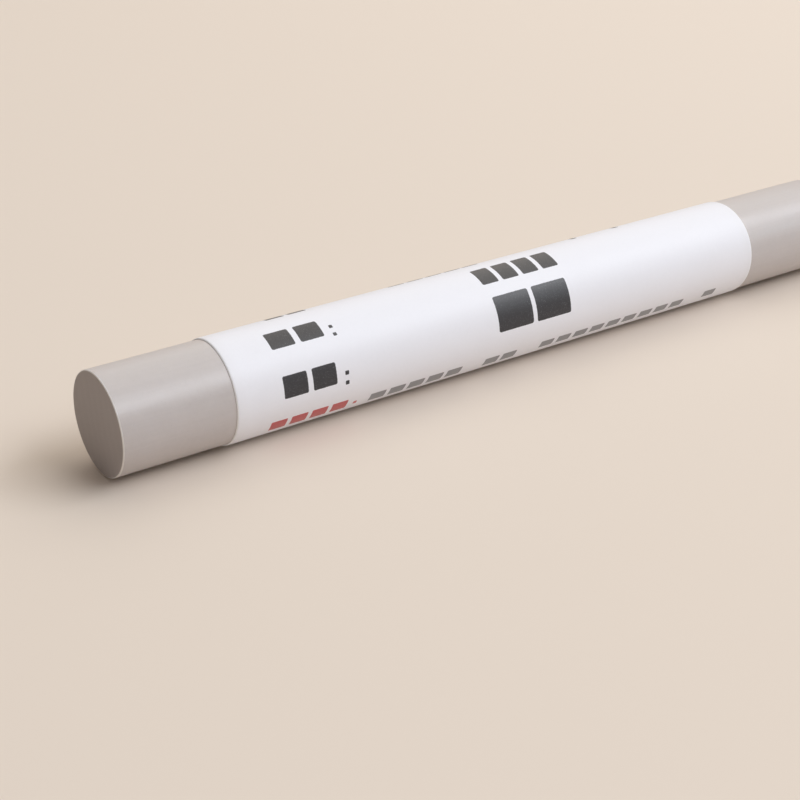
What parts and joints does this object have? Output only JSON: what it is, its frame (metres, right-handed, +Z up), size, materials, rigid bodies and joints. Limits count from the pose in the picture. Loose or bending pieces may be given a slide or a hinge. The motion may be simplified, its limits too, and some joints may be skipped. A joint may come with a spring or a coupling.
{
  "type": "furniture repair wax stick",
  "caption": "Round stick of warm grey repair wax, cut square at both ends, with a white self-adhesive paper label wrapped round its middle and lapped over itself.",
  "frame": {"origin": "on the ground, midway along the stick, straight under its axis", "axes": "+X along the stick from the near end, which has the shorter bare stretch, to the far end, +Z up, -Y the side that shows most of the label"},
  "size_m": [0.099, 0.0114, 0.0113],
  "materials": {
    "wax": "satin",
    "glue": "gloss",
    "label_paper": "smooth coated paper"
  },
  "bodies": {
    "root": {"wax_rod": "wax", "label_glue": "glue", "label_paper": "label_paper"}
  },
  "joints": []
}
